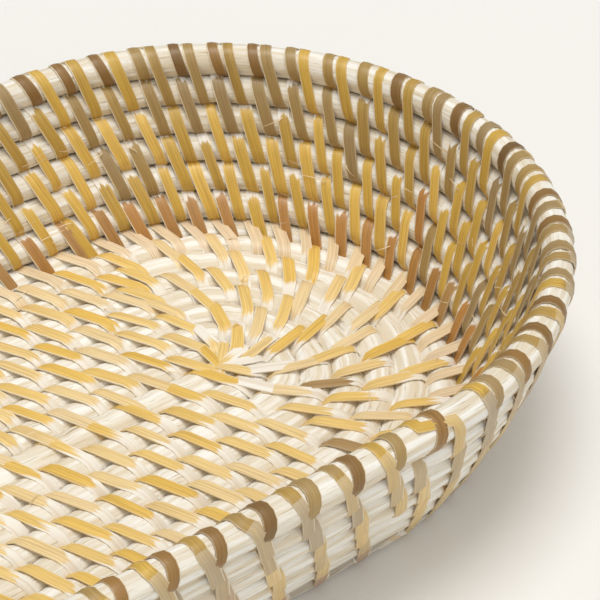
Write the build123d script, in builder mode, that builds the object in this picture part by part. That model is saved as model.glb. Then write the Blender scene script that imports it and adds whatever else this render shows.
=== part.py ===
"""Oval coiled basket: a long cane core coiled from the middle of the base up to the rim,
lashed row to row with strips of peel.

Frame: X is the long axis, Y the width, +Z up. The origin is the middle of the underside,
on the plane that the basket rests on.
"""
import math
import os

from build123d import *

# ---- driving dimensions (millimetres) ----
base_pitch = 8.07         # centre to centre of two neighbouring rows in the base
wall_pitch = 8.05         # centre to centre of two neighbouring rows in the wall
core_diameter = 7.2       # the cane core; the strips pass through the gaps between rows
strip_width = 3.2         # a strip of peel
strip_thickness = 0.28
half_centre = 60.0        # half the length of the straight centre row
side_bow = 0.015          # outward bow of the long sides, as a share of the row's half-width
corner_row = 8            # last row of the base, the one that the basket stands on
rim_row = 14              # last row of the wall
wall_angle_low = 61.0     # slope of the wall just above the base, in degrees from level
wall_angle_high = 74.0    # slope of the wall just under the rim
base_dome = 1.5           # rise of the middle of the base above its corner row
side_lashings = 4         # lashings along each long side of a row
base_end_lashings = 4     # lashings round each end of a base row
wall_end_lashings = 8     # lashings round each end of a wall row
tail_length_share = 0.77  # the core ends this far round the left end of the rim
tail_tip_radius = 0.9     # and it thins out to this
tail_tip_clearance = 0.45 # between the tip of the tail and the core below it
strip_clearance = 0.04    # between a strip and the core that it binds

# ---- worked out from the driving dimensions ----
core_radius = core_diameter / 2
loop_radius = core_radius + strip_clearance       # inner radius of a strip's bends
ground_clearance = loop_radius + strip_thickness  # the corner row's centre above the ground
first_row_offset = 0.25                           # its two sides share the centre row, so they take turns
first_wall_row = corner_row + 1
first_level_row = corner_row - 1                  # from here to the corner row the base is level
tail_stations = 9

os.makedirs("parts", exist_ok=True)


# ---- the rows of the coil ----
def wall_angle(row):
    """Slope of the step that leads up to a wall row, in radians."""
    share = (row - first_wall_row) / (rim_row - first_wall_row)
    return math.radians(wall_angle_low + (wall_angle_high - wall_angle_low) * share)


def row_half_width(row):
    """Half-width of a row where its long side meets its round end."""
    wall_steps = range(first_wall_row, row + 1)
    wall_reach = sum(wall_pitch * math.cos(wall_angle(step)) for step in wall_steps)
    return min(row, corner_row) * base_pitch + wall_reach


def row_height(row):
    """Height of a row's centre line above the ground."""
    dome = base_dome * (1 - (row / first_level_row) ** 2) if row < first_level_row else 0
    wall_steps = range(first_wall_row, row + 1)
    wall_rise = sum(wall_pitch * math.sin(wall_angle(step)) for step in wall_steps)
    return ground_clearance + dome + wall_rise


def end_reach(half_width):
    """How far a round end stands out past the end of the centre row, tangent to the bowed sides."""
    heading = 2 * math.atan(side_bow * half_width / half_centre)
    return half_width * (1 - math.sin(heading)) / math.cos(heading)


def side_arc(row, side):
    """Points of one long side: side is -1 for the near one and +1 for the far one."""
    half_width = row_half_width(row)
    height = row_height(row)
    start = (side * half_centre, side * half_width, height)
    middle = (0, side * half_width * (1 + side_bow), height)
    finish = (-side * half_centre, side * half_width, height)
    return start, middle, finish


def left_apex(row):
    """Middle of the round end at -X, where a row steps out by one pitch to the next row."""
    far = row_half_width(row)
    near = row_half_width(row + 1)
    height = (row_height(row) + row_height(row + 1)) / 2
    return (-half_centre - end_reach((far + near) / 2), (far - near) / 2, height)


def turn_edges(row):
    """Edges of one turn, counter-clockwise: near side, right end, far side, left end."""
    near = side_arc(row, -1)
    far = side_arc(row, 1)
    right_apex = (half_centre + end_reach(row_half_width(row)), 0, row_height(row))
    arcs = [near, (near[2], right_apex, far[0]), far]
    if row < rim_row:
        arcs.append((far[2], left_apex(row), side_arc(row + 1, -1)[0]))
    return [Edge.make_three_point_arc(*(Vector(*point) for point in arc)) for arc in arcs]


parts = {}

# ---- the start of the core: a straight length down the middle of the base, then a tight bend ----
start_height = row_height(0)
start_tip = Vector(half_centre - core_radius, 0, start_height)
start_turn = Vector(-half_centre, 0, start_height)

with BuildPart() as core_start:
    with BuildLine() as start_path:
        Line(start_tip, start_turn)
        ThreePointArc(start_turn, left_apex(0), side_arc(1, -1)[0])
    with BuildSketch(Plane(origin=start_path.line @ 0, z_dir=start_path.line % 0)):
        Circle(core_radius)
    sweep()
parts["core_start"] = core_start.part

# ---- the core, turn after turn: out across the base, then up the wall to the rim ----
for row in range(1, rim_row + 1):
    with BuildPart() as core_turn:
        with BuildLine() as turn_path:
            add(turn_edges(row))
        with BuildSketch(Plane(origin=turn_path.line @ 0, z_dir=turn_path.line % 0)):
            Circle(core_radius)
        sweep()
    turn_name = "core_rim" if row == rim_row else f"core_turn_{row:02d}"
    parts[turn_name] = core_turn.part

# ---- the tail of the core: it thins out on top of the turn that climbs to the rim ----
climb = turn_edges(rim_row - 1)[3]
rim_step_out = row_half_width(rim_row) - row_half_width(rim_row - 1)
rim_step_up = row_height(rim_row) - row_height(rim_row - 1)


def tail_radius(progress):
    """Radius of the tail, from its root at 0 to its tip at 1."""
    return core_radius + (tail_tip_radius - core_radius) * progress


def tail_above(progress):
    """Direction from the climbing turn to the tail that lies on it."""
    below = climb @ (progress * tail_length_share)
    outward = Vector(below.X + half_centre, below.Y, 0).normalized()
    return (outward * rim_step_out + Vector(0, 0, rim_step_up)).normalized()


def tail_centre(progress):
    """Centre of the tail: it leaves the rim row and closes up on the climbing turn as it thins."""
    tip_distance = core_radius + tail_tip_clearance + tail_tip_radius
    distance = wall_pitch + (tip_distance - wall_pitch) * progress
    return climb @ (progress * tail_length_share) + tail_above(progress) * distance


with BuildPart() as core_tail:
    for station in range(tail_stations):
        progress = station / (tail_stations - 1)
        heading = climb % (progress * tail_length_share)
        with BuildSketch(Plane(origin=tail_centre(progress), z_dir=heading)):
            Circle(tail_radius(progress))
    loft()
parts["core_tail"] = core_tail.part


# ---- the lashings: closed loops of strip, each as its own solid ----
def strip_loop(centre_distance):
    """A loop of strip to stand round two cores, in XY; at no distance it goes round one core."""
    with BuildPart(mode=Mode.PRIVATE) as loop:
        with BuildSketch():
            if centre_distance > 0:
                SlotCenterToCenter(centre_distance, 2 * (loop_radius + strip_thickness))
                SlotCenterToCenter(centre_distance, 2 * loop_radius, mode=Mode.SUBTRACT)
            else:
                Circle(loop_radius + strip_thickness)
                Circle(loop_radius, mode=Mode.SUBTRACT)
        extrude(amount=strip_width / 2, both=True)
    return loop.part


def centre_row_edges():
    """The centre row as the two runs that the first turn is lashed to, there and back."""
    left = Vector(-half_centre, 0, start_height)
    right = Vector(half_centre, 0, start_height)
    return [Edge.make_line(left, right), None, Edge.make_line(right, left), None]


def stitch_shares(row, count):
    """Shares of an arc where a row's lashings sit: odd rows' lie between the even rows' ones."""
    offset = first_row_offset if row == 1 else 0.5 * (row % 2)
    return [(number + offset) / count for number in range(count)]


def arc_counts(row):
    """Lashings on each arc of a turn: near side, right end, far side, left end."""
    at_end = base_end_lashings if row <= corner_row else wall_end_lashings
    return [side_lashings, at_end, side_lashings, at_end]


def loop_across(inner, outer, heading):
    """A loop of strip round two cores whose centres are given, standing upright across their heading."""
    across = outer - inner
    plane = Plane(inner + across / 2, x_dir=across, z_dir=Vector(heading.X, heading.Y, 0))
    return plane.location * strip_loop(across.length)


def row_loops(row):
    """All the lashings that tie one row to the row inside it."""
    loops = []
    inner_edges = turn_edges(row - 1) if row > 1 else centre_row_edges()
    for outer_edge, inner_edge, count in zip(turn_edges(row), inner_edges, arc_counts(row)):
        if inner_edge is None:
            continue
        for share in stitch_shares(row, count):
            loops.append(loop_across(inner_edge @ share, outer_edge @ share, outer_edge % share))
    return loops


def wrap_planes(row):
    """Planes across one row where its short wraps sit, between its lashings."""
    planes = []
    for edge, count in zip(turn_edges(row), arc_counts(row)):
        for share in stitch_shares(row + 1, count):
            planes.append(Plane(edge @ share, z_dir=edge % share))
    return planes


for row in range(1, rim_row + 1):
    with BuildPart() as lashing:
        add(row_loops(row))
    parts[f"lashing_row_{row:02d}"] = lashing.part

# ---- the short wraps: between two lashings of the rim, each round the rim's core alone ----
with BuildPart() as rim_wraps:
    with Locations(*[plane.location for plane in wrap_planes(rim_row)]):
        add(strip_loop(0))
parts["rim_short_wraps"] = rim_wraps.part

# ---- the tail's lashings: round the thinning tail and the turn below it ----
with BuildPart() as tail_lashing:
    for share in stitch_shares(rim_row, wall_end_lashings):
        if 0 < share < tail_length_share:
            progress = share / tail_length_share
            shrink = core_radius - tail_radius(progress)
            top = tail_centre(progress) - tail_above(progress) * shrink
            add(loop_across(climb @ share, top, climb % share))
parts["lashing_tail"] = tail_lashing.part

# ---- centre the whole basket on the origin and write one STEP file for each piece ----
boxes = [part.bounding_box() for part in parts.values()]
middle_x = (min(box.min.X for box in boxes) + max(box.max.X for box in boxes)) / 2
middle_y = (min(box.min.Y for box in boxes) + max(box.max.Y for box in boxes)) / 2
lowest = min(box.min.Z for box in boxes)
to_origin = Location((-middle_x, -middle_y, -lowest))

for name, part in parts.items():
    placed = part.moved(to_origin)
    placed.label = name
    export_step(placed, f"parts/{name}.step")

print("moved by", to_origin.position)
print("length", max(box.max.X for box in boxes) - min(box.min.X for box in boxes))
print("width", max(box.max.Y for box in boxes) - min(box.min.Y for box in boxes))
print("height", max(box.max.Z for box in boxes) - lowest)
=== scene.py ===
"""Looks of the oval coiled basket: whitewashed cane core, golden strips of peel sewn over it.

Lengths are in metres. Rows are counted from the straight start of the core, row 0, to the rim.
"""
import math
import random

import bpy
from mathutils import Matrix, Vector


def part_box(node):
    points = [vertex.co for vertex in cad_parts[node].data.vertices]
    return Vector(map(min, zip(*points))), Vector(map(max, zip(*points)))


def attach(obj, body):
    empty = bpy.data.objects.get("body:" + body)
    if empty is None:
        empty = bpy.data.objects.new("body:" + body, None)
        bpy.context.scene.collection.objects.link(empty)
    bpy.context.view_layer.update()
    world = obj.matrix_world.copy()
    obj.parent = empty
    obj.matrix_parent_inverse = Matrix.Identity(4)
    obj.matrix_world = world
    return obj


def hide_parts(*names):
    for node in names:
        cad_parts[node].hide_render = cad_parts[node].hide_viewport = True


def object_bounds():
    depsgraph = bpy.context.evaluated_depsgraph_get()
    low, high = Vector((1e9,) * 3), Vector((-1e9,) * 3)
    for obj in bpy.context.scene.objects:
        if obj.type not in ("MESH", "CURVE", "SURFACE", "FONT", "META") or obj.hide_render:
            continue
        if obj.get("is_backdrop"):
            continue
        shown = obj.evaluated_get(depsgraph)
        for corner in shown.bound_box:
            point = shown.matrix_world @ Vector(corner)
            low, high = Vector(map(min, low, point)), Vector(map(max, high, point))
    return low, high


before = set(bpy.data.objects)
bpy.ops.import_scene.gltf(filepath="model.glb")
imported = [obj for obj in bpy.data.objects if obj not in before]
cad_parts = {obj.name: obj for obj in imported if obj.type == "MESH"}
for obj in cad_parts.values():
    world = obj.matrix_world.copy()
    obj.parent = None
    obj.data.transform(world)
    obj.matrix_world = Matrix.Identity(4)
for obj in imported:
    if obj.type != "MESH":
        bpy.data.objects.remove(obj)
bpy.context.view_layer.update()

MM = 0.001

# ---- the coil, as in the CAD ----
HALF_CENTRE = 60 * MM           # half the length of the straight centre row
CORE_RADIUS = 3.6 * MM          # of the CAD core
SIDE_BOW = 0.015                # outward bow of a long side, as a share of the row's half-width
CORNER_ROW = 8                  # the last row of the base
RIM_ROW = 14
TAIL_SHARE = 0.77               # how far round the left end the thinning tail of the core runs
NEAR, RIGHT, FAR, LEFT = range(4)
TURN = (NEAR, RIGHT, FAR, LEFT)  # the four arcs of a turn, counter-clockwise
END_ARC_SHARE = 0.985           # a round end is a little shorter than half a circle, as the sides bow
SHORTEST_ARC = 0.1 * MM
SMALL_SHARE = 0.002             # step along an arc that gives the row's direction there

# ---- the visible core ----
CANE_RADIUS = 3.82 * MM
CANE_SPREAD = 1.09              # the rows are pressed together, so the core is wider than it is thick
BASE_SPREAD = 1.2               # wider still on the base, where wash fills the grooves
CANE_STEP = 1.25 * MM           # between the core's rings
LEAST_STEPS = 3                 # rings on the shortest arc
START_OVERRUN = 3.4 * MM        # how far the start of the core runs on past the end of the centre row
SWELLS = ((0.025, 310, 1), (0.02, 97, 2))  # depth, angle for each metre, angle for each row
DENT_DEPTH = 0.10               # how far a stitch pulls the core in beside it, as a share of its girth
DENT_REACH = 1.4 * MM
TAIL_TIP_GIRTH = 0.25
TAIL_TIP_DISTANCE = 4.8 * MM    # between the tail's tip and the turn that it closes up on
TAIL_CLEAR_SHARE = 0.6          # from here round the left end, the turn below the tail shows its top

# ---- how dark the core's grooves are painted, from 0 for nowhere to 1: partly cane bare of wash, partly painted shade ----
BASE_BARE_AND_SHADE = 0.12
RIM_BARE_AND_SHADE = 0.1
BARE_AND_SHADE_FROM_ROW = 7.3
BARE_AND_SHADE_OVER_ROWS = 1.5

# ---- the visible strips ----
STRIP_WIDTH = 3.25 * MM
STRIP_THICKNESS = 0.36 * MM
STRIP_CROWN = 0.2 * MM          # rise of the strip's middle above its edges
STRIP_LIFT = 0.17 * MM          # of a strip's middle layer off the core
UNDERSIDE_TUCK = 0.15 * MM      # the strips sink into the core by this under the base

# ---- how the strips are sewn ----
SIDE_PITCH = 11.3 * MM          # between stitches along a long side
BASE_SLANT = 3.8 * MM           # how far a stitch's outer end is carried round, counter-clockwise
WALL_SLANT = 2.6 * MM
HALF_LEAD = 1.25 * MM           # a row's stitches stand twice this ahead of midway between the last row's
SHORTEST_LEAD_ARC = 9 * MM      # the first rows' tiny ends count as this long when the lead is worked out
SHORTEST_STITCH_ARC = 4 * MM
HOLE_BEHIND = 3.7 * MM          # from where a stitch crosses a groove back to the hole it pulls open
END_STITCHES = {1: 5, 2: 5, 3: 6, 4: 8, 5: 10, 6: 10, 7: 12}   # round each end of the first rows
WALL_END_STITCHES = 24          # round each end of every row from the corner up
FIRST_STITCH = 0.7              # share of every arc where row 1 has a stitch
LAST_STITCH = 0.999             # share of an arc where its stitches stop
LAST_TAIL_STITCH = TAIL_SHARE * 0.9
TUCKED_SHARE = 0.25             # of a stitch's way back to the next one, made under each of its two rows
HIDDEN_RUN = 2 * MM             # strip out of sight between two stitches
FRONT_STEPS = 7                 # steps of a stitch that lie on the inside of the basket
NEAR_PART = 0.35                # share of a round end, beside the near side, that is washed like it
WRAP_ANGLES = range(-80, 281, 24)  # a short wrap's points round the rim, in degrees
WRAP_STEP = 1.7 * MM            # of strip between those points

# ---- loose fibres ----
FIBRE_STEPS = 6
FIBRE_SIDE = 1.7 * MM           # from the middle of a stitch to where a fibre starts beside it
FIBRE_LIFT = 0.35 * MM          # off the core where it starts
FIBRE_GIRTH = 0.10              # as a share of a strip's section

rng = random.Random(14)


# ---- where the rows run ----
def turn_name(row):
    """Name of the CAD node that is one row of the core."""
    if row == 0:
        return "core_start"
    return "core_rim" if row == RIM_ROW else f"core_turn_{row:02d}"


def lashing_name(row):
    """Name of the CAD node that sews a row to the one inside it."""
    return f"lashing_row_{row:02d}"


CENTRE_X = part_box("core_start")[1].x - (HALF_CENTRE - CORE_RADIUS)
ROW_HEIGHT = [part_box(turn_name(row))[0].z + CORE_RADIUS for row in range(RIM_ROW + 1)]
ROW_WIDTH = [0.0] + [
    (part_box(turn_name(row))[1].y - CORE_RADIUS) / (1 + SIDE_BOW) for row in range(1, RIM_ROW + 1)
]
ROW_WIDTH.append(2 * ROW_WIDTH[RIM_ROW] - ROW_WIDTH[RIM_ROW - 1])
ROW_HEIGHT.append(2 * ROW_HEIGHT[RIM_ROW] - ROW_HEIGHT[RIM_ROW - 1])


def end_point(half_width, share, side):
    """A point of a round end, in plan; side is 1 for the right end and -1 for the left one."""
    heading = 2 * math.atan(SIDE_BOW * half_width / HALF_CENTRE)
    centre = HALF_CENTRE - half_width * math.tan(heading)
    sweep = math.pi / 2 - heading
    angle = sweep * (2 * share - 1)
    radius = half_width / math.cos(heading)
    return Vector((side * (centre + radius * math.cos(angle)), side * radius * math.sin(angle), 0))


def tail_point(share):
    """Centre of the tail: it leaves the rim row and closes up on the climbing turn as it thins."""
    below = row_point(RIM_ROW - 1, LEFT, share)
    outward = Vector((below.x - CENTRE_X + HALF_CENTRE, below.y, 0)).normalized()
    step_out = ROW_WIDTH[RIM_ROW] - ROW_WIDTH[RIM_ROW - 1]
    step_up = ROW_HEIGHT[RIM_ROW] - ROW_HEIGHT[RIM_ROW - 1]
    above = outward * step_out + Vector((0, 0, step_up))
    shrink = share / TAIL_SHARE
    distance = above.length * (1 - shrink) + TAIL_TIP_DISTANCE * shrink
    return below + above.normalized() * distance


def row_point(row, arc, share):
    """Centre of the core, at a share of one arc of a row's turn."""
    width = ROW_WIDTH[row]
    height = ROW_HEIGHT[row]
    if arc in (NEAR, FAR):
        side = -1 if arc == NEAR else 1
        bow = 1 + SIDE_BOW * (1 - (2 * share - 1) ** 2)
        point = Vector((side * HALF_CENTRE * (1 - 2 * share), side * width * bow, height))
    elif arc == RIGHT:
        point = end_point(width, share, 1)
        point.z = height
    elif row == RIM_ROW:
        return tail_point(min(share, TAIL_SHARE))
    else:
        wider = ROW_WIDTH[row + 1]
        middle = (width + wider) / 2
        point = end_point(middle, share, -1) + Vector((0, (width - wider) / 2, 0))
        climb = (ROW_HEIGHT[row + 1] - height) / 2
        point.z = height + climb - climb * (point.y - (width - wider) / 2) / middle
    return point + Vector((CENTRE_X, 0, 0))


def arc_length(row, arc):
    """Length of one arc of a row."""
    if arc in (NEAR, FAR):
        return 2 * HALF_CENTRE
    width = ROW_WIDTH[row] if arc == RIGHT else (ROW_WIDTH[row] + ROW_WIDTH[row + 1]) / 2
    return max(math.pi * width * END_ARC_SHARE, SHORTEST_ARC)


def carry_over(row, arc, share):
    """The arc and share that a share below 0 or above 1 runs on into."""
    if share < 0 and arc > NEAR:
        return arc - 1, 1 + share * arc_length(row, arc) / arc_length(row, arc - 1)
    if share > 1 and arc < LEFT:
        return arc + 1, (share - 1) * arc_length(row, arc) / arc_length(row, arc + 1)
    return arc, share


def row_frame(row, arc, share):
    """Centres of a row and the row inside it, and the directions across and up off them."""
    arc, share = carry_over(row, arc, share)
    outer = row_point(row, arc, share)
    inner = row_point(row - 1, arc, share)
    ahead = row_point(row, arc, share + SMALL_SHARE) - row_point(row, arc, share - SMALL_SHARE)
    along = ahead.normalized()
    across = outer - inner
    across = (across - along * across.dot(along)).normalized()
    return outer, inner, across, across.cross(along)


# ---- meshes from guide lines, by Geometry Nodes ----
def guide_object(name, lines):
    """An object of open lines. Each line is a list of points with their attributes."""
    mesh = bpy.data.meshes.new(name)
    points = [point for line in lines for point in line]
    edges = []
    start = 0
    for line in lines:
        edges += [(start + number, start + number + 1) for number in range(len(line) - 1)]
        start += len(line)
    mesh.from_pydata([point["at"] for point in points], edges, [])
    for key in points[0]:
        if key == "at":
            continue
        if key == "facing":
            layer = mesh.attributes.new(key, "FLOAT_VECTOR", "POINT")
            layer.data.foreach_set("vector", [part for point in points for part in point[key]])
        else:
            layer = mesh.attributes.new(key, "FLOAT", "POINT")
            layer.data.foreach_set("value", [point[key] for point in points])
    thing = bpy.data.objects.new(name, mesh)
    bpy.context.scene.collection.objects.link(thing)
    return thing


def add_node(tree, kind, inputs=None, **settings):
    """Adds a node with its settings; an input is a value, or another node's output to link."""
    node = tree.nodes.new(kind)
    for key, value in settings.items():
        setattr(node, key, value)
    for key, value in (inputs or {}).items():
        if isinstance(value, bpy.types.NodeSocket):
            tree.links.new(value, node.inputs[key])
        else:
            node.inputs[key].default_value = value
    return node


class Tree:
    """One Geometry Nodes tree, with named inputs, that sweeps a profile along guide lines."""

    def __init__(self, name, inputs):
        self.tree = bpy.data.node_groups.new(name, "GeometryNodeTree")
        face = self.tree.interface
        face.new_socket("Geometry", in_out="INPUT", socket_type="NodeSocketGeometry")
        for label, kind, value in inputs:
            socket = face.new_socket(label, in_out="INPUT", socket_type=kind)
            if value is not None:
                socket.default_value = value
        face.new_socket("Geometry", in_out="OUTPUT", socket_type="NodeSocketGeometry")
        self.entry = self.add("NodeGroupInput")
        self.exit = self.add("NodeGroupOutput")

    def add(self, kind, inputs=None, **settings):
        """Adds a node to this tree."""
        return add_node(self.tree, kind, inputs, **settings)

    def read(self, name, kind="FLOAT"):
        """A named attribute of the guide lines."""
        node = self.add("GeometryNodeInputNamedAttribute", {"Name": name}, data_type=kind)
        return node.outputs["Attribute"]

    def store(self, geometry, name, value):
        """The geometry with a number kept on its points under a name."""
        node = self.add("GeometryNodeStoreNamedAttribute",
                        {"Geometry": geometry, "Name": name, "Value": value},
                        data_type="FLOAT", domain="POINT")
        return node.outputs["Geometry"]

    def calculate(self, operation, first, second):
        """Two numbers put together by a Math node."""
        return self.add("ShaderNodeMath", {0: first, 1: second}, operation=operation).outputs[0]

    def swept(self, profile):
        """The profile swept along the guide lines, turned to their facing and scaled by their girth."""
        curve = self.add("GeometryNodeMeshToCurve", {"Mesh": self.entry.outputs["Geometry"]})
        turned = self.add("GeometryNodeSetCurveNormal", {"Curve": curve.outputs["Curve"]}, mode="FREE")
        self.tree.links.new(self.read("facing", "FLOAT_VECTOR"), turned.inputs["Normal"])
        body = self.add("GeometryNodeCurveToMesh",
                        {"Curve": turned.outputs["Curve"], "Profile Curve": profile,
                         "Scale": self.read("girth"), "Fill Caps": True})
        return body.outputs["Mesh"]

    def finish(self, geometry):
        """Realize Instances and Set Material, then out."""
        real = self.add("GeometryNodeRealizeInstances", {"Geometry": geometry}).outputs["Geometry"]
        done = self.add("GeometryNodeSetMaterial",
                        {"Geometry": real, "Material": self.entry.outputs["Material"]})
        self.tree.links.new(done.outputs["Geometry"], self.exit.inputs["Geometry"])
        return self.tree


def strip_tree():
    """Sweeps a flat strip with a crowned face along the guide lines."""
    tree = Tree("sewn_strip", [("Width", "NodeSocketFloat", STRIP_WIDTH),
                               ("Thickness", "NodeSocketFloat", STRIP_THICKNESS),
                               ("Crown", "NodeSocketFloat", STRIP_CROWN),
                               ("Material", "NodeSocketMaterial", None)])
    width, thickness, crown = (tree.entry.outputs[name] for name in ("Width", "Thickness", "Crown"))
    square = tree.add("GeometryNodeCurvePrimitiveQuadrilateral", {"Width": thickness, "Height": width})
    profile = tree.add("GeometryNodeSubdivideCurve", {"Curve": square.outputs["Curve"], "Cuts": 1})
    place = tree.add("GeometryNodeInputPosition").outputs["Position"]
    split = tree.add("ShaderNodeSeparateXYZ", {0: place})
    half = tree.calculate("DIVIDE", width, 2.0)
    sideways = tree.calculate("DIVIDE", split.outputs["Y"], half)
    fall = tree.calculate("MULTIPLY", tree.calculate("MULTIPLY", sideways, sideways), -1.0)
    on_top = tree.calculate("GREATER_THAN", split.outputs["X"], 0.0)
    crowning = tree.calculate("MULTIPLY", tree.calculate("ADD", fall, 1.0), on_top)
    lift = tree.add("ShaderNodeCombineXYZ", {"X": tree.calculate("MULTIPLY", crowning, crown)})
    crowned = tree.add("GeometryNodeSetPosition",
                       {"Geometry": profile.outputs["Curve"], "Offset": lift.outputs[0]})
    marked = tree.store(crowned.outputs["Geometry"], "sideways", sideways)
    return tree.finish(tree.swept(marked))


def cane_tree():
    """Sweeps a round core along its guide line and roughens it."""
    tree = Tree("cane_core", [("Radius", "NodeSocketFloat", CANE_RADIUS),
                              ("Sides", "NodeSocketInt", 14),
                              ("Spread", "NodeSocketFloat", CANE_SPREAD),
                              ("Lumps", "NodeSocketFloat", 0.35 * MM),
                              ("Lump Scale", "NodeSocketFloat", 170.0),
                              ("Material", "NodeSocketMaterial", None)])
    radius, spread, lumps = (tree.entry.outputs[name] for name in ("Radius", "Spread", "Lumps"))
    ring = tree.add("GeometryNodeCurvePrimitiveCircle",
                    {"Resolution": tree.entry.outputs["Sides"], "Radius": radius})
    place = tree.add("GeometryNodeInputPosition").outputs["Position"]
    split = tree.add("ShaderNodeSeparateXYZ", {0: place})
    marked = tree.store(ring.outputs["Curve"], "up", tree.calculate("DIVIDE", split.outputs["X"], radius))
    marked = tree.store(marked, "sideways", tree.calculate("DIVIDE", split.outputs["Y"], radius))
    widen = tree.add("ShaderNodeCombineXYZ", {"X": 1.0, "Y": spread, "Z": 1.0})
    pressed = tree.add("GeometryNodeTransform", {"Geometry": marked, "Scale": widen.outputs[0]})
    noise = tree.add("ShaderNodeTexNoise", {"Scale": tree.entry.outputs["Lump Scale"], "Detail": 2.0})
    swing = tree.calculate("MULTIPLY", tree.calculate("SUBTRACT", noise.outputs[0], 0.5), lumps)
    normal = tree.add("GeometryNodeInputNormal").outputs["Normal"]
    push = tree.add("ShaderNodeVectorMath", {0: normal, "Scale": swing}, operation="SCALE")
    rough = tree.add("GeometryNodeSetPosition",
                     {"Geometry": tree.swept(pressed.outputs[0]), "Offset": push.outputs["Vector"]})
    return tree.finish(rough.outputs["Geometry"])


def grown(name, lines, tree, material, **sizes):
    """Runs a tree on guide lines and returns the result as a plain mesh object."""
    guide = guide_object(name + "_guide", lines)
    modifier = guide.modifiers.new("grow", "NODES")
    modifier.node_group = tree
    for item in tree.interface.items_tree:
        if item.item_type == "SOCKET" and item.in_out == "INPUT":
            if item.name == "Material":
                modifier[item.identifier] = material
            elif item.name in sizes:
                modifier[item.identifier] = sizes[item.name]
    seen = guide.evaluated_get(bpy.context.evaluated_depsgraph_get())
    mesh = bpy.data.meshes.new_from_object(seen)
    mesh.name = name
    guide.modifiers.remove(modifier)
    bpy.data.objects.remove(guide)
    mesh.materials.clear()
    mesh.materials.append(material)
    mesh.polygons.foreach_set("use_smooth", [True] * len(mesh.polygons))
    mesh.set_sharp_from_angle(angle=math.radians(50))
    piece = bpy.data.objects.new(name, mesh)
    bpy.context.scene.collection.objects.link(piece)
    return piece


# ---- materials ----
def shader(name):
    """A new material with its node tree, its Principled BSDF and a helper that adds nodes."""
    material = bpy.data.materials.new(name)
    material.use_nodes = True
    tree = material.node_tree

    def add(kind, inputs=None, **settings):
        return add_node(tree, kind, inputs, **settings)

    return material, tree, tree.nodes["Principled BSDF"], add


def attribute(add, name):
    """A named attribute of the mesh, as a number."""
    return add("ShaderNodeAttribute", attribute_name=name).outputs["Fac"]


def calculate(add, operation, first, second):
    """Two numbers put together by a Math node."""
    return add("ShaderNodeMath", {0: first, 1: second}, operation=operation).outputs[0]


def mixed(add, share, first, second, how="MIX"):
    """Two colours mixed, with a share of the second one."""
    node = add("ShaderNodeMix", {0: share, 6: first, 7: second}, data_type="RGBA", blend_type=how)
    return node.outputs[2]


def ramp(add, value, stops):
    """A colour ramp with the given (place, colour) stops."""
    node = add("ShaderNodeValToRGB", {0: value})
    band = node.color_ramp
    for place, _ in stops[2:]:
        band.elements.new(place)
    for element, (place, colour) in zip(band.elements, sorted(stops)):
        element.position = place
        element.color = (*colour, 1)
    return node.outputs["Color"]


def fibre_group():
    """Shared grain that runs along a fibre: streaks and specks from a run and a place across it."""
    group = bpy.data.node_groups.new("fibre_grain", "ShaderNodeTree")
    face = group.interface
    for label, value in (("Run", 0.0), ("Across", 0.0), ("Lift", 0.0), ("Fineness", 1.0), ("Stretch", 0.1)):
        face.new_socket(label, in_out="INPUT", socket_type="NodeSocketFloat").default_value = value
    for label in ("Streaks", "Patches"):
        face.new_socket(label, in_out="OUTPUT", socket_type="NodeSocketFloat")
    entry = group.nodes.new("NodeGroupInput").outputs
    leave = group.nodes.new("NodeGroupOutput").inputs
    stretched = add_node(group, "ShaderNodeMath", {0: entry["Run"], 1: entry["Stretch"]},
                         operation="MULTIPLY")
    vector = add_node(group, "ShaderNodeCombineXYZ",
                      {0: stretched.outputs[0], 1: entry["Across"], 2: entry["Lift"]})
    for label, factor, detail in (("Streaks", 1.0, 5.0), ("Patches", 0.22, 2.0)):
        scale = add_node(group, "ShaderNodeMath", {0: entry["Fineness"], 1: factor}, operation="MULTIPLY")
        noise = add_node(group, "ShaderNodeTexNoise",
                         {"Detail": detail, "Vector": vector.outputs[0], "Scale": scale.outputs[0]})
        group.links.new(noise.outputs[0], leave[label])
    return group


def grain(add, run, across, lift, fineness, stretch):
    """The shared grain with its own values, as streaks and patches."""
    node = add("ShaderNodeGroup", node_tree=GRAIN)
    for key, value in (("Run", run), ("Across", across), ("Lift", lift)):
        node.id_data.links.new(value, node.inputs[key])
    node.inputs["Fineness"].default_value = fineness
    node.inputs["Stretch"].default_value = stretch
    return node.outputs["Streaks"], node.outputs["Patches"]


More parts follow.
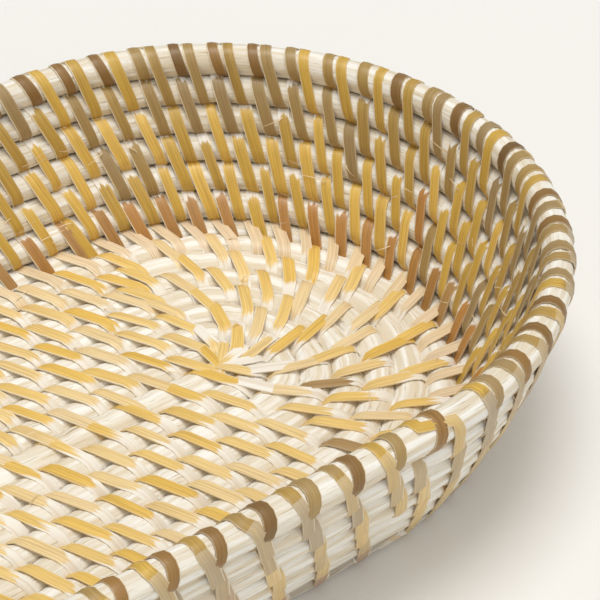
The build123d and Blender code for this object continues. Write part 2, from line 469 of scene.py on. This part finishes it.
def whitewashed_cane():
    """Matt white wash over fibrous cane, worn thin in streaks; its grooves painted dark brown, partly for
    bare cane and partly as painted shade.
    """
    material, tree, skin, add = shader("whitewashed_cane")
    run, up, sideways = (attribute(add, name) for name in ("run", "up", "sideways"))
    streaks, patches = grain(add, run, sideways, up, 10.0, 12.0)
    white = ramp(add, streaks, [(0.28, (0.56, 0.48, 0.36)), (0.70, (0.95, 0.93, 0.88)),
                                (0.36, (0.86, 0.82, 0.73)), (0.45, (0.94, 0.92, 0.86))])
    stain = ramp(add, patches, [(0.40, (0.83, 0.75, 0.62)), (0.62, (1.0, 1.0, 1.0))])
    washed = mixed(add, 1.0, white, stain, "MULTIPLY")
    height = add("ShaderNodeMath", {0: up}, operation="ABSOLUTE").outputs[0]
    out_of_groove = ramp(add, height, [(0.10, (0, 0, 0)), (0.48, (1, 1, 1))])
    # painted shade: the grooves between the rows are painted dark brown, partly for bare cane and partly for
    # the shade down between the coils
    bare_and_shaded_colour = ramp(add, streaks, [(0.35, (0.10, 0.06, 0.03)), (0.65, (0.30, 0.20, 0.11))])
    in_groove = calculate(add, "SUBTRACT", out_of_groove, 1.0)
    bare_and_shaded_share = calculate(add, "MULTIPLY", in_groove, attribute(add, "bare_and_shade"))
    kept = calculate(add, "ADD", bare_and_shaded_share, 1.0)
    bump = add("ShaderNodeBump", {"Height": streaks, "Strength": 0.4, "Distance": 0.0006})
    tree.links.new(mixed(add, kept, bare_and_shaded_colour, washed), skin.inputs["Base Color"])
    tree.links.new(bump.outputs[0], skin.inputs["Normal"])
    skin.inputs["Roughness"].default_value = 0.85
    return material


def wash_cover(add, streaks, patches, sideways):
    """Where wash covers a stitch: past its upper limit, and past its lower one as thick as it says."""
    front, upper, lower, wash = (attribute(add, key) for key in ("front", "upper", "lower", "wash"))
    streak_tear = calculate(add, "MULTIPLY", calculate(add, "ADD", streaks, -0.5), 0.03)
    patch_tear = calculate(add, "MULTIPLY", calculate(add, "ADD", patches, -0.5), 0.35)
    torn = calculate(add, "ADD", streak_tear, patch_tear)
    bowed = calculate(add, "MULTIPLY", calculate(add, "MULTIPLY", sideways, sideways), 0.03)
    ragged = calculate(add, "ADD", torn, bowed)
    masks = []
    for first, second, crispness in ((upper, front, 16.0), (front, lower, 9.0)):
        past = calculate(add, "ADD", calculate(add, "SUBTRACT", first, second), ragged)
        masks.append(ramp(add, calculate(add, "MULTIPLY", past, crispness),
                          [(0.0, (0, 0, 0)), (0.8, (0.95, 0.95, 0.95))]))
    return calculate(add, "MAXIMUM", masks[0], calculate(add, "MULTIPLY", masks[1], wash))


def sewn_peel(name):
    """A strip of peel: its own tone for each stitch, fine grain, a pale cut edge, wash on its ends."""
    material, tree, skin, add = shader(name)
    run, sideways, tone = (attribute(add, key) for key in ("run", "sideways", "tone"))
    streaks, patches = grain(add, run, sideways, tone, 6.0, 10.0)
    golden = ramp(add, tone, PEEL)
    grainy = ramp(add, streaks, [(0.30, (0.74, 0.68, 0.60)), (0.60, (1.04, 1.03, 1.0))])
    body = mixed(add, 1.0, golden, grainy, "MULTIPLY")
    from_edge = calculate(add, "ADD", calculate(add, "MULTIPLY", sideways, 0.5), 0.5)
    edge = ramp(add, from_edge, [(0.0, (0.35, 0.35, 0.35)), (0.10, (0, 0, 0)),
                                 (0.90, (0, 0, 0)), (0.97, (0.9, 0.9, 0.9))])
    edged = mixed(add, edge, body, (0.84, 0.74, 0.55, 1))
    cover = wash_cover(add, streaks, patches, sideways)
    chalk = ramp(add, patches, [(0.38, (0.78, 0.71, 0.61)), (0.60, (0.90, 0.87, 0.80))])
    bump = add("ShaderNodeBump", {"Height": streaks, "Strength": 0.2, "Distance": 0.0003})
    dull = ramp(add, cover, [(0.0, (0.40, 0.40, 0.40)), (1.0, (0.85, 0.85, 0.85))])
    tree.links.new(mixed(add, cover, edged, chalk), skin.inputs["Base Color"])
    tree.links.new(dull, skin.inputs["Roughness"])
    tree.links.new(bump.outputs[0], skin.inputs["Normal"])
    return material


# The peel's tones, from 0 to 1: pale cream, yellow, gold, olive, tan, rust, brown.
PEEL = [(0.0, (0.80, 0.65, 0.47)), (0.14, (0.84, 0.67, 0.40)), (0.30, (0.84, 0.61, 0.23)),
        (0.42, (0.80, 0.53, 0.12)), (0.50, (0.66, 0.43, 0.08)), (0.60, (0.46, 0.30, 0.08)),
        (0.70, (0.38, 0.27, 0.13)), (0.80, (0.53, 0.26, 0.07)), (0.90, (0.32, 0.18, 0.055)),
        (1.0, (0.19, 0.108, 0.036))]
CREAM = (0.0, 0.08)
YELLOW = (0.14, 0.44)
GOLD = (0.40, 0.56)
OLIVE_TO_TAN = (0.55, 0.70)
GOLD_TO_TAN = (0.46, 0.70)
TAN = (0.62, 0.72)
TAN_TO_RUST = (0.6, 0.8)
RUST = (0.74, 0.86)
BROWN = (0.88, 1.0)
ONE_TAN = 0.72
ONE_OLIVE = 0.5
FIBRE_TONE = 0.08


# ---- stitches ----
def stitch_count(row, arc):
    """Stitches on one arc of a row, which need not be a whole number."""
    if arc in (NEAR, FAR):
        return 2 * HALF_CENTRE / SIDE_PITCH
    return END_STITCHES.get(row, WALL_END_STITCHES)


def reference_stitch(row, arc):
    """Share of an arc where a row has a stitch, just ahead of midway between two of the last row."""
    if row <= 1:
        return FIRST_STITCH
    inner_arc = max(arc_length(row - 1, arc), SHORTEST_LEAD_ARC)
    lead = HALF_LEAD / arc_length(row, arc) + HALF_LEAD / inner_arc
    count = stitch_count(row, arc)
    place = reference_stitch(row - 1, arc) + lead + 0.5 / count
    return place - round((place - FIRST_STITCH) * count) / count


def stitch_places(row):
    """Every stitch of a row, as (arc, share, share of one stitch)."""
    places = []
    for arc in TURN:
        count = stitch_count(row, arc)
        first = reference_stitch(row, arc) % (1 / count)
        last = LAST_TAIL_STITCH if row == RIM_ROW and arc == LEFT else LAST_STITCH
        number = 0
        while first + number / count < last:
            places.append((arc, first + number / count, 1 / count))
            number += 1
    return places


def tone_of(row):
    """How deep a stitch of this row is coloured, with an odd one here and there."""
    if row < CORNER_ROW:
        return rng.uniform(*YELLOW) if rng.random() > 0.03 else ONE_TAN
    if row == CORNER_ROW:
        return rng.uniform(*CREAM)
    if row == CORNER_ROW + 1:
        return rng.uniform(*RUST) if rng.random() > 0.25 else ONE_OLIVE
    if row == RIM_ROW - 1:
        return rng.uniform(*OLIVE_TO_TAN)
    if row == RIM_ROW:
        return rng.uniform(*GOLD_TO_TAN)
    return rng.uniform(*GOLD) if rng.random() > 0.12 else rng.uniform(*TAN_TO_RUST)


def washed_ends(row, arc, share):
    """Where the wash on the outer end stops, where it starts again on the inner one, and how thick it is."""
    if row == RIM_ROW:
        return -1.0, 1.15, 0.25
    if row > CORNER_ROW:
        return rng.uniform(0.10, 0.32), 1.02, 0.28
    if row == CORNER_ROW:
        return rng.uniform(0.25, 0.45), rng.uniform(0.7, 0.95), 0.9
    if arc == NEAR or (arc == RIGHT and share < NEAR_PART) or (arc == LEFT and share > 1 - NEAR_PART):
        return rng.uniform(0.34, 0.46), rng.uniform(0.85, 1.05), 0.97
    return rng.uniform(0.14, 0.28), rng.uniform(0.62, 0.80), 0.97


def tail_girth(row, arc, share):
    """How thick the core is there, as a share of its full radius: only the tail thins."""
    if row < RIM_ROW or arc != LEFT:
        return 1.0
    return 1 - (1 - TAIL_TIP_GIRTH) * min(share / TAIL_SHARE, 1)


def wrap_point(row, arc, share, around, on_inner, lean):
    """A point of a strip round the cores of a stitch; around starts at the outer side, in degrees."""
    outer, inner, across, rise = row_frame(row, arc, share + lean)
    turn = math.radians(around)
    outward = across * math.cos(turn) + rise * math.sin(turn)
    radius = CANE_RADIUS + STRIP_LIFT
    if around > 180 and row <= CORNER_ROW:
        radius = CANE_RADIUS - UNDERSIDE_TUCK
    if not on_inner:
        radius *= tail_girth(row, arc, share)
    reach = across * math.cos(turn) * CANE_SPREAD + rise * math.sin(turn)
    return (inner if on_inner else outer) + reach * radius, outward


def plan_share(around):
    """How far out over two cores a point lies, from 0 halfway between them to 1 at the outer side."""
    return (1 + math.cos(math.radians(around))) / 2


def stitch_path(slant, pitch):
    """One round of a stitch, as (degrees around, whether round the inner row, shift along the row)."""
    back = slant - pitch
    over_outer = [(around, False, slant * plan_share(around)) for around in (0, 30, 60, 90)]
    over_inner = [(around, True, -slant * plan_share(180 - around)) for around in (90, 120, 150, 180)]
    under_inner = [(around, True, -slant + (back + slant) * TUCKED_SHARE * (around - 180) / 90)
                   for around in (210, 240, 270)]
    under_outer = [(around, False, back * (1 - TUCKED_SHARE + TUCKED_SHARE * (around - 270) / 90))
                   for around in (270, 300, 330)]
    return over_outer + over_inner + under_inner + under_outer


def sewn_stitch(row, arc, share, part, points, run, tone):
    """Adds one round of the strip: over the inside, through the inner gap, back behind, out again."""
    size = max(arc_length(row, arc), SHORTEST_STITCH_ARC)
    slant = (BASE_SLANT if row <= CORNER_ROW else WALL_SLANT) * rng.uniform(0.85, 1.15)
    shift = rng.uniform(-0.6, 0.6) * MM
    girth = rng.uniform(0.85, 1.08)
    upper, lower, wash = washed_ends(row, arc, share)
    if row <= 2 and arc == RIGHT:
        upper = rng.uniform(0.30, 0.75)
    last = None
    for number, (around, on_inner, lean) in enumerate(stitch_path(slant, part * size)):
        place, outward = wrap_point(row, arc, share, around, on_inner, (lean + shift) / size)
        run += (place - last).length if last is not None else HIDDEN_RUN
        last = place
        points.append({"at": place, "facing": outward, "girth": girth, "run": run, "tone": tone,
                       "front": number / FRONT_STEPS, "upper": upper, "lower": lower, "wash": wash})
    return run


def row_strip(row):
    """The strip of one row as one guide line; it was sewn clockwise, so its last stitch comes first."""
    line = []
    run = rng.uniform(0, 9)
    for arc, share, part in reversed(stitch_places(row)):
        run = sewn_stitch(row, arc, share, part, line, run, tone_of(row))
    return line


def strip_point(place, outward, girth, run, tone, wash):
    """A point of a strip that has no washed ends."""
    return {"at": place, "facing": outward, "girth": girth, "run": run, "tone": tone,
            "front": 0.5, "upper": -1.0, "lower": 2.0, "wash": wash}


def rim_wraps():
    """A short wrap round the rim alone, halfway between each two long stitches."""
    lines = []
    for arc, share, part in stitch_places(RIM_ROW):
        if arc == LEFT:
            continue
        slant = rng.uniform(1.2, 1.8) * MM
        tone = rng.uniform(*BROWN) if rng.random() > 0.4 else rng.uniform(*TAN)
        girth = rng.uniform(0.85, 1.05)
        run = rng.uniform(0, 9)
        line = []
        for around in WRAP_ANGLES:
            lean = slant * math.cos(math.radians(around)) / arc_length(RIM_ROW, arc)
            place, outward = wrap_point(RIM_ROW, arc, share + part / 2, around, False, lean)
            run += WRAP_STEP
            line.append(strip_point(place, outward, girth, run, tone, 0.5))
        lines.append(line)
    return lines


def loose_fibres(rows, number):
    """Fine fibres torn up beside the stitches, each a short bent line."""
    lines = []
    while len(lines) < number:
        row = rng.choice(rows)
        arc, share, _ = rng.choice(stitch_places(row))
        size = arc_length(row, arc)
        side = rng.choice((-1, 1))
        start, reach = rng.uniform(55, 160), rng.uniform(2.5, 7.5) * MM
        lift, climb = rng.uniform(0.2, 1.6) * MM, rng.uniform(-30, 40)
        line = []
        for step in range(FIBRE_STEPS + 1):
            along = step / FIBRE_STEPS
            lean = (FIBRE_SIDE * side + reach * side * along ** 1.4) / size
            place, outward = wrap_point(row, arc, share, start + climb * along, start > 90, lean)
            place += outward * (FIBRE_LIFT + lift * math.sin(math.pi * along * 0.8))
            girth = FIBRE_GIRTH * (1 - 0.6 * along)
            line.append(strip_point(place, outward, girth, step * MM, FIBRE_TONE, 0.0))
        lines.append(line)
    return lines


# ---- the core ----
def hole_shares(row, arc):
    """Shares of an arc where a row's stitches pull a hole open in the groove on its inside."""
    if row == 0:
        return []
    behind = HOLE_BEHIND / max(arc_length(row, arc), SHORTEST_LEAD_ARC)
    return [share - behind for place, share, _ in stitch_places(row) if place == arc]


def pulled_in(holes, share, size):
    """How much the core is pulled in by the nearest hole, from 0 to 1."""
    return max([math.exp(-((share - hole) * size / DENT_REACH) ** 2) for hole in holes], default=0.0)


def swell(row, run):
    """The core's own unevenness: its girth there, as a share of the usual one."""
    return sum((depth * math.sin(run * rate + shift * row) for depth, rate, shift in SWELLS), 1.0)


def groove_bare_and_shade(row, arc, share, pull):
    """How dark the groove is painted, partly for missing wash and partly as painted shade: little on the
    base and on top, all on the wall.
    """
    if row == RIM_ROW or (row == RIM_ROW - 1 and arc == LEFT and share > TAIL_CLEAR_SHARE):
        return RIM_BARE_AND_SHADE
    # painted shade: where a stitch pulls a hole open, the groove is painted dark to stand in for the shade
    # inside the hole
    return max(min(max((row - BARE_AND_SHADE_FROM_ROW) / BARE_AND_SHADE_OVER_ROWS, BASE_BARE_AND_SHADE), 1.0), pull)


def start_place(arc, share):
    """A point of row 0: it runs straight from right to left, then bends back into row 1."""
    if arc == NEAR:
        x = CENTRE_X + HALF_CENTRE + START_OVERRUN - (2 * HALF_CENTRE + START_OVERRUN) * share
        return Vector((x, 0, ROW_HEIGHT[0]))
    angle = math.pi / 2 + math.pi * share
    half = ROW_WIDTH[1] / 2
    return Vector((CENTRE_X - HALF_CENTRE + half * math.cos(angle), -half + half * math.sin(angle),
                   ROW_HEIGHT[0]))


def core_line(first, last):
    """The core's centre line from the start of one row to the end of another."""
    line = []
    run = 0.4 * first
    for row in range(first, last + 1):
        for arc in (NEAR, LEFT) if row == 0 else TURN:
            length = math.pi * ROW_WIDTH[1] / 2 if (row, arc) == (0, LEFT) else arc_length(row, arc)
            reach = TAIL_SHARE if (row, arc) == (RIM_ROW, LEFT) else 1.0
            steps = max(int(length / CANE_STEP), LEAST_STEPS)
            holes = hole_shares(row, arc) + hole_shares(row + 1, arc) if row < CORNER_ROW else []
            for number in range(steps):
                share = reach * number / steps
                if row == 0:
                    place, facing = start_place(arc, share), Vector((0, 0, 1))
                else:
                    place, _, _, facing = row_frame(row, arc, share)
                run += length / steps
                pull = pulled_in(holes, share, length)
                # painted shade: the same pull that dents the core paints the hole beside a stitch dark
                bare_and_shade = groove_bare_and_shade(row, arc, share, pull)
                girth = swell(row, run) * tail_girth(row, arc, share) * (1 - DENT_DEPTH * pull)
                line.append({"at": place, "facing": facing, "girth": girth, "run": run, "bare_and_shade": bare_and_shade})
    if last < RIM_ROW:
        place, _, _, facing = row_frame(last + 1, NEAR, 0)
        line.append({"at": place, "facing": facing, "girth": 1.0, "run": run, "bare_and_shade": bare_and_shade})
    return line


# ---- build the pieces ----
GRAIN = fibre_group()
STRIP = strip_tree()
CORE = cane_tree()
CANE_SKIN = whitewashed_cane()
GOLD_SKIN = sewn_peel("golden_peel")
RIM_SKIN = sewn_peel("rim_peel")


def placed(piece, nodes):
    """Fixes a piece to the basket and hides the CAD nodes that it stands for."""
    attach(piece, "root")
    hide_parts(*nodes)


def core_piece(name, first, last, spread=CANE_SPREAD, others=()):
    """A stretch of the core, from one row to another, with the other CAD nodes that it stands for."""
    nodes = [turn_name(row) for row in range(first, last + 1)]
    piece = grown(name, [core_line(first, last)], CORE, CANE_SKIN, Spread=spread)
    placed(piece, nodes + list(others))


def strip_piece(name, rows, fibres):
    """The strips of several rows, with the loose fibres beside their stitches."""
    lines = [row_strip(row) for row in rows]
    lines += loose_fibres([row for row in rows if row > 1], fibres)
    placed(grown(name, lines, STRIP, GOLD_SKIN), [lashing_name(row) for row in rows])


core_piece("base_core", 0, CORNER_ROW - 1, BASE_SPREAD)
core_piece("wall_core", CORNER_ROW, RIM_ROW - 1)
core_piece("rim_core", RIM_ROW, RIM_ROW, others=["core_tail"])
strip_piece("base_strip", range(1, CORNER_ROW + 1), 60)
strip_piece("wall_strip", range(CORNER_ROW + 1, RIM_ROW), 170)
placed(grown("rim_strip", [row_strip(RIM_ROW)] + rim_wraps(), STRIP, RIM_SKIN),
       [lashing_name(RIM_ROW), "rim_short_wraps", "lashing_tail"])


# ---- floor, light and camera ----
FLOOR_REACH = 4.0
FLOOR_COLOUR = (0.825, 0.817, 0.797, 1)
ROOM_COLOUR = (1.0, 0.985, 0.96, 1)
ROOM_STRENGTH = 0.36
LAMP_COLOUR = (1.0, 0.985, 0.95)
LAMPS = (("soft_light", 1.66, 30, (0.06, -0.04, -1.0)),    # name, strength, spread in degrees, travel
         ("fill_light", 0.90, 70, (0.10, 0.72, -1.0)))

TILT = math.radians(38.0)
TURNED = math.radians(36.6)
LENS = 120.1
SENSOR_WIDTH = 36
AIM_HEIGHT = 0.085 * MM
EYE_DISTANCE = 502.7            # from the aim to the eye along the view, and its shifts, in millimetres
EYE_RIGHT = 20.0
EYE_UP = 23.5


def floor():
    """A pale plain floor under the basket."""
    mesh = bpy.data.meshes.new("floor")
    level = min(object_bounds()[0].z, 0)
    corners = [(x * FLOOR_REACH, y * FLOOR_REACH, level) for x, y in ((-1, -1), (1, -1), (1, 1), (-1, 1))]
    mesh.from_pydata(corners, [], [(0, 1, 2, 3)])
    ground = bpy.data.objects.new("floor", mesh)
    bpy.context.scene.collection.objects.link(ground)
    paint, _, skin, _ = shader("pale_floor")
    skin.inputs["Base Color"].default_value = FLOOR_COLOUR
    skin.inputs["Roughness"].default_value = 0.9
    mesh.materials.append(paint)
    ground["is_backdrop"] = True


def lights():
    """A soft light from above, a softer one from the front and a bright room."""
    world = bpy.data.worlds.new("room")
    world.use_nodes = True
    world.node_tree.nodes["Background"].inputs["Color"].default_value = ROOM_COLOUR
    world.node_tree.nodes["Background"].inputs["Strength"].default_value = ROOM_STRENGTH
    bpy.context.scene.world = world
    for name, strength, spread, travel in LAMPS:
        lamp = bpy.data.lights.new(name, "SUN")
        lamp.energy = strength
        lamp.angle = math.radians(spread)
        lamp.color = LAMP_COLOUR
        light = bpy.data.objects.new(name, lamp)
        light.rotation_mode = "QUATERNION"
        light.rotation_quaternion = Vector(travel).to_track_quat("-Z", "Y")
        bpy.context.scene.collection.objects.link(light)


def camera():
    """A long lens looking down at the right end of the basket."""
    right = Vector((math.cos(TURNED), -math.sin(TURNED), 0))
    level = Vector((math.sin(TURNED), math.cos(TURNED), 0))
    ahead = level * math.cos(TILT) - Vector((0, 0, 1)) * math.sin(TILT)
    up = level * math.sin(TILT) + Vector((0, 0, 1)) * math.cos(TILT)
    lens = bpy.data.cameras.new("camera")
    lens.sensor_width = SENSOR_WIDTH
    lens.lens = LENS
    lens.clip_start, lens.clip_end = 0.01, 20
    eye = bpy.data.objects.new("camera", lens)
    spot = Vector((CENTRE_X + HALF_CENTRE, 0, AIM_HEIGHT))
    eye.location = spot - ahead * EYE_DISTANCE * MM + right * EYE_RIGHT * MM + up * EYE_UP * MM
    eye.rotation_mode = "QUATERNION"
    eye.rotation_quaternion = Matrix((right, up, -ahead)).transposed().to_quaternion()
    bpy.context.scene.collection.objects.link(eye)
    bpy.context.scene.camera = eye


floor()
lights()
camera()
bpy.context.scene.view_settings.view_transform = "Standard"
